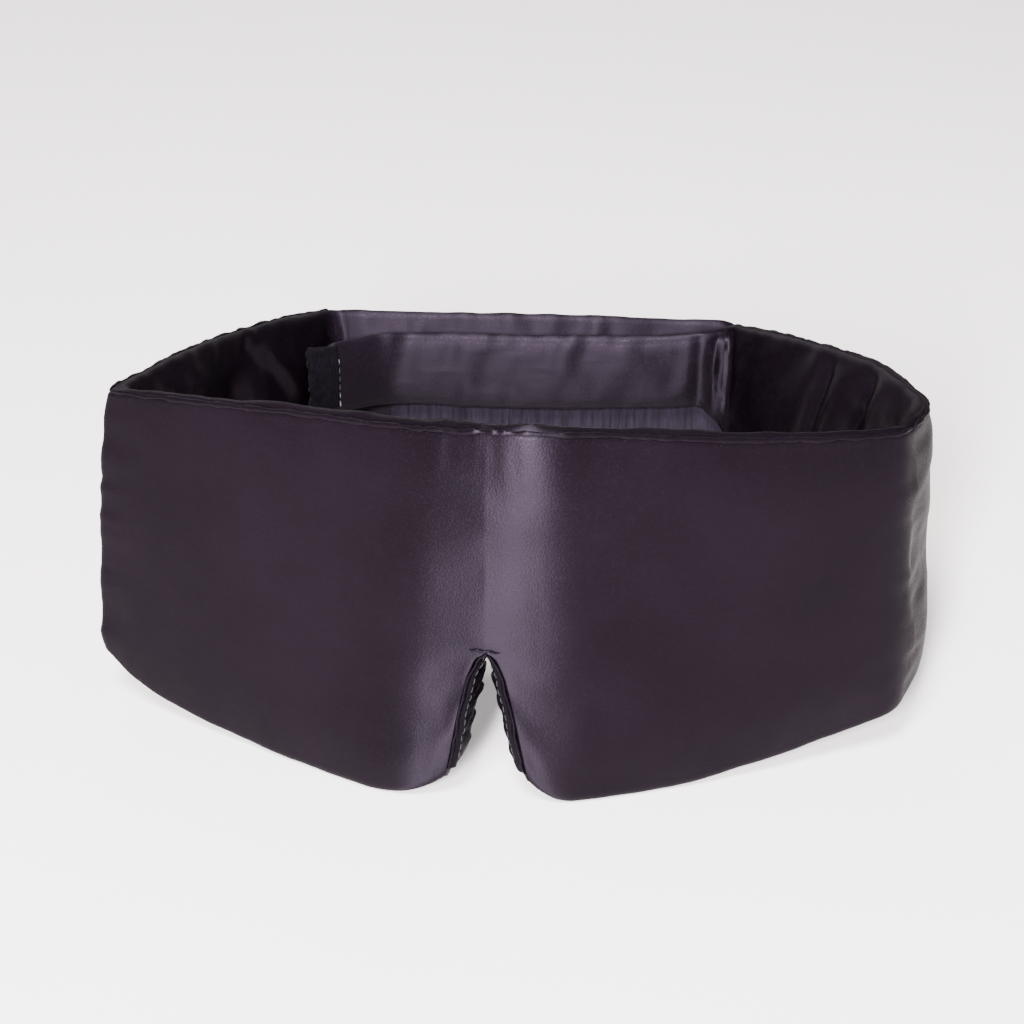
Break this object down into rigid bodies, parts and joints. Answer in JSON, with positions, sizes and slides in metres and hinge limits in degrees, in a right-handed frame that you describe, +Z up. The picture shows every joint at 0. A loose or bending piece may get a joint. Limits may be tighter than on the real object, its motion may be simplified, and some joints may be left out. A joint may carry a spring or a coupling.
{
  "type": "sleep eye mask",
  "caption": "Padded satin wrap-around sleep mask standing as a closed ring, with a nose notch, side wings and a hook-and-loop strap closure at the back.",
  "frame": {"origin": "middle of the footprint, on the surface that the mask stands on", "axes": "+Z up, -Y out of the front panel, +X to the right as seen from the front"},
  "size_m": [0.2166, 0.1464, 0.1059],
  "materials": {
    "satin_shell": "woven satin, dark aubergine, soft sheen",
    "satin_lining": "woven satin, dark aubergine, soft sheen",
    "satin_facing": "gathered satin strip, dark aubergine",
    "wadding": "soft fibre wadding",
    "blackout_cloth": "plain dense black cloth",
    "loop_pile": "brushed loop pile",
    "hook_nylon": "moulded nylon hooks on a woven base",
    "tab_webbing": "woven tape",
    "thread": "polyester sewing thread"
  },
  "bodies": {
    "front_panel": {"front_satin_shell": "satin_shell", "front_wadding": "wadding", "front_blackout_sheet": "blackout_cloth", "front_satin_lining": "satin_lining", "front_top_seam": "satin_shell", "nose_facing_left": "satin_facing", "nose_stitches_left": "thread", "nose_facing_right": "satin_facing", "nose_stitches_right": "thread", "nose_bar_tack": "thread"},
    "left_wing": {"left_wing_satin_shell": "satin_shell", "left_wing_wadding": "wadding", "left_wing_satin_lining": "satin_lining", "left_wing_top_seam": "satin_shell"},
    "right_wing": {"right_wing_satin_shell": "satin_shell", "right_wing_wadding": "wadding", "right_wing_satin_lining": "satin_lining", "right_wing_top_seam": "satin_shell"},
    "loop_strap_root": {"loop_strap_root_shell": "satin_shell", "loop_strap_root_wadding": "wadding", "loop_strap_root_lining": "satin_lining"},
    "loop_strap_free": {"loop_strap_free_shell": "satin_shell", "loop_strap_free_wadding": "wadding", "loop_strap_free_lining": "satin_lining", "loop_patch": "loop_pile", "loop_patch_stitches": "thread"},
    "hook_strap_root": {"hook_strap_root_shell": "satin_shell", "hook_strap_root_wadding": "wadding", "hook_strap_root_lining": "satin_lining"},
    "hook_strap_free": {"hook_strap_free_shell": "satin_shell", "hook_strap_free_wadding": "wadding", "hook_strap_free_lining": "satin_lining", "hook_tape": "hook_nylon", "hook_pull_tab": "tab_webbing", "hook_strap_end_stitches": "thread"}
  },
  "joints": [
    {"name": "left_temple_swing", "type": "hinge", "parent": "front_panel", "child": "left_wing", "pos_m": [-0.10866, -0.03575, 0.05], "axis": [0, 0, 1], "range_deg": [0, 24]},
    {"name": "right_temple_swing", "type": "hinge", "parent": "front_panel", "child": "right_wing", "pos_m": [0.10414, -0.04195, 0.05], "axis": [0, 0, 1], "range_deg": [-24, 0]},
    {"name": "left_corner_fold", "type": "hinge", "parent": "left_wing", "child": "loop_strap_root", "pos_m": [-0.06026, 0.06715, 0.05], "axis": [0, 0, 1], "range_deg": [-24, 0]},
    {"name": "right_corner_fold", "type": "hinge", "parent": "right_wing", "child": "hook_strap_root", "pos_m": [0.05574, 0.06095, 0.05], "axis": [0, 0, 1], "range_deg": [0, 24]},
    {"name": "loop_strap_peel", "type": "hinge", "parent": "loop_strap_root", "child": "loop_strap_free", "pos_m": [-0.04126, 0.07355, 0.05], "axis": [0, 0, 1], "range_deg": [0, 110]},
    {"name": "hook_strap_peel", "type": "hinge", "parent": "hook_strap_root", "child": "hook_strap_free", "pos_m": [0.03474, 0.06135, 0.05], "axis": [0, 0, 1], "range_deg": [0, 50]}
  ],
  "couplings": [
    {"joint": "right_temple_swing", "follows": "left_temple_swing", "ratio": -1},
    {"joint": "left_corner_fold", "follows": "left_temple_swing", "ratio": -1},
    {"joint": "right_corner_fold", "follows": "left_temple_swing", "ratio": 1}
  ]
}
